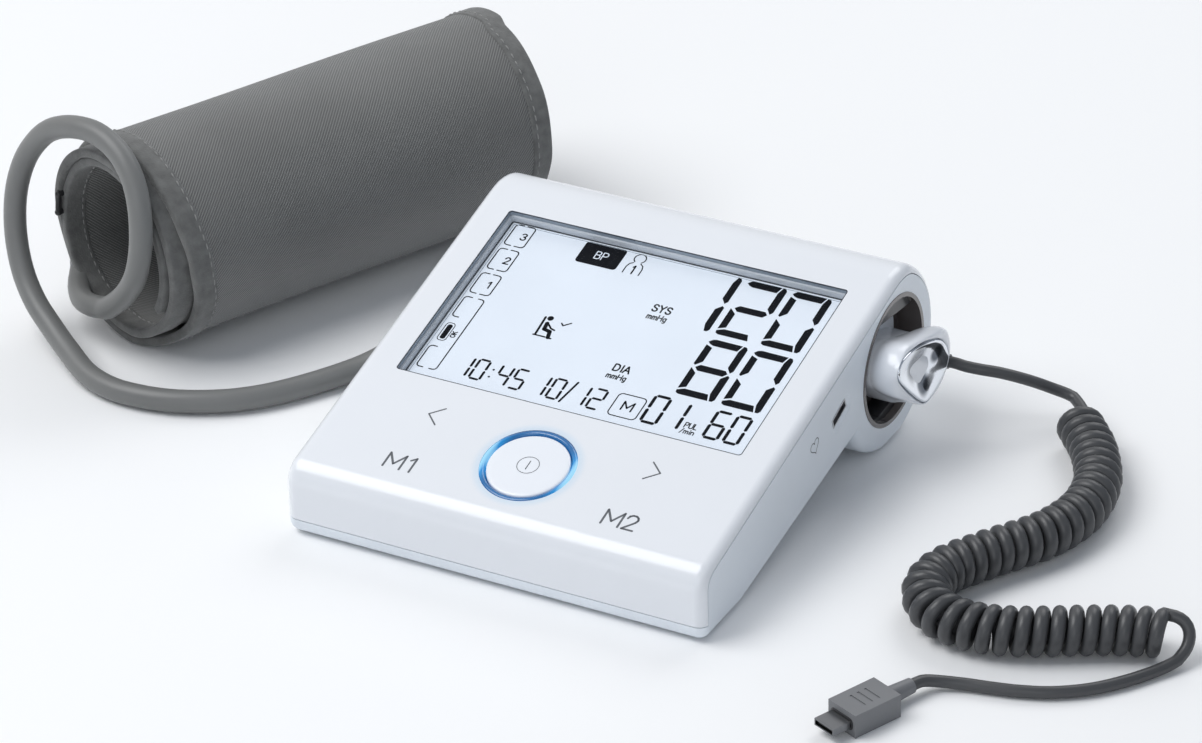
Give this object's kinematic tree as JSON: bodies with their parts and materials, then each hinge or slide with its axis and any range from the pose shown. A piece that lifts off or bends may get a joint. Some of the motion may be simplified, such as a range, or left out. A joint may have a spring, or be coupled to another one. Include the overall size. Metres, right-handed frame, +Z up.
{
  "type": "upper arm blood pressure monitor",
  "caption": "Desktop blood pressure monitor with a sloping display panel, a side dock holding an electrode stick on a curly cord, and a rolled arm cuff on an air hose.",
  "frame": {"origin": "middle of the front rest strip's underside, on the standing plane", "axes": "+X to the dock side, +Y to the rear roll, +Z up"},
  "size_m": [0.4692, 0.2879, 0.0898],
  "materials": {
    "white_shell": "gloss",
    "pale_shell": "gloss",
    "frame_blue": "satin",
    "clear_window": "gloss",
    "lcd_glass": "satin",
    "light_guide": "satin",
    "holder_plastic": "matte",
    "circuit_board": "satin",
    "chip_plastic": "matte",
    "ring_light": "gloss",
    "dock_plastic": "gloss",
    "black_plastic": "satin",
    "gold_contact": "polished",
    "steel": "brushed",
    "chrome": "polished",
    "hose_rubber": "satin",
    "cord_rubber": "satin",
    "plug_plastic": "satin",
    "cuff_fabric": "woven",
    "binding_tape": "woven",
    "lining_fabric": "woven",
    "hook_tape": "hook",
    "bladder_rubber": "matte",
    "tube_rubber": "satin",
    "cell_wrap": "gloss",
    "foot_rubber": "matte"
  },
  "bodies": {
    "monitor": {"top_shell": "white_shell", "bottom_shell": "pale_shell", "display_frame": "frame_blue", "display_window": "clear_window", "lcd_panel": "lcd_glass", "backlight": "light_guide", "display_holder": "holder_plastic", "main_board": "circuit_board", "board_chips": "chip_plastic", "light_ring": "ring_light", "start_switch": "chip_plastic", "touch_springs": "gold_contact", "buzzer": "black_plastic", "dock_mouth": "dock_plastic", "dock_channel": "dock_plastic", "dock_rails": "black_plastic", "dock_contacts": "gold_contact", "ecg_socket": "steel", "ecg_socket_tongue": "black_plastic", "air_socket": "holder_plastic", "inner_tubes": "tube_rubber", "pump_motor": "steel", "pump_head": "black_plastic", "release_valve": "holder_plastic", "valve_spring": "steel", "pressure_sensor": "chip_plastic", "batteries": "cell_wrap", "battery_contacts": "steel", "rubber_feet": "foot_rubber", "case_screws": "steel"},
    "start_button": {"start_button": "white_shell"},
    "electrode_stick": {"stick_front_shell": "white_shell", "stick_rear_shell": "white_shell", "end_electrode": "chrome", "inner_electrode": "chrome", "stick_board": "circuit_board", "cord_gland": "plug_plastic", "cord_upper": "cord_rubber", "cord_coil": "cord_rubber", "cord_lower": "cord_rubber", "plug_relief": "plug_plastic", "plug_body": "plug_plastic", "plug_shell": "steel", "plug_tongue": "black_plastic"},
    "arm_cuff": {"cuff_wrap": "cuff_fabric", "cuff_bladder": "bladder_rubber", "cuff_lining": "lining_fabric", "hook_patch": "hook_tape", "d_ring": "black_plastic", "near_binding": "binding_tape", "far_binding": "binding_tape", "cuff_port": "plug_plastic", "air_hose": "hose_rubber", "air_plug": "plug_plastic", "plug_seal": "black_plastic"},
    "pump_rotor": {"pump_shaft": "steel"},
    "valve_rod": {"valve_plunger": "steel"},
    "battery_door": {"battery_cover": "pale_shell"}
  },
  "joints": [
    {"name": "button_press", "type": "slide", "parent": "monitor", "child": "start_button", "axis": [0, 0.2541, -0.9672], "range_m": [0, 0.0008], "stiffness_N_per_m": 900, "springref_m": -0.0006},
    {"name": "stick_slide", "type": "slide", "parent": "monitor", "child": "electrode_stick", "axis": [1, 0, 0], "range_m": [0, 0.115]},
    {"name": "air_plug_slide", "type": "slide", "parent": "monitor", "child": "arm_cuff", "axis": [-1, 0, 0], "range_m": [0, 0.02]},
    {"name": "pump_spin", "type": "hinge", "parent": "monitor", "child": "pump_rotor", "pos_m": [-0.03, 0.08, 0.028], "axis": [1, 0, 0], "continuous": true},
    {"name": "valve_slide", "type": "slide", "parent": "monitor", "child": "valve_rod", "axis": [0, 0, -1], "range_m": [0, 0.001], "stiffness_N_per_m": 200, "springref_m": -0.002, "deforming": ["valve_spring"]},
    {"name": "cover_hinge", "type": "hinge", "parent": "monitor", "child": "battery_door", "pos_m": [0, 0.02198, 0.00379], "axis": [1, 0, 0], "range_deg": [-60, 0]}
  ]
}
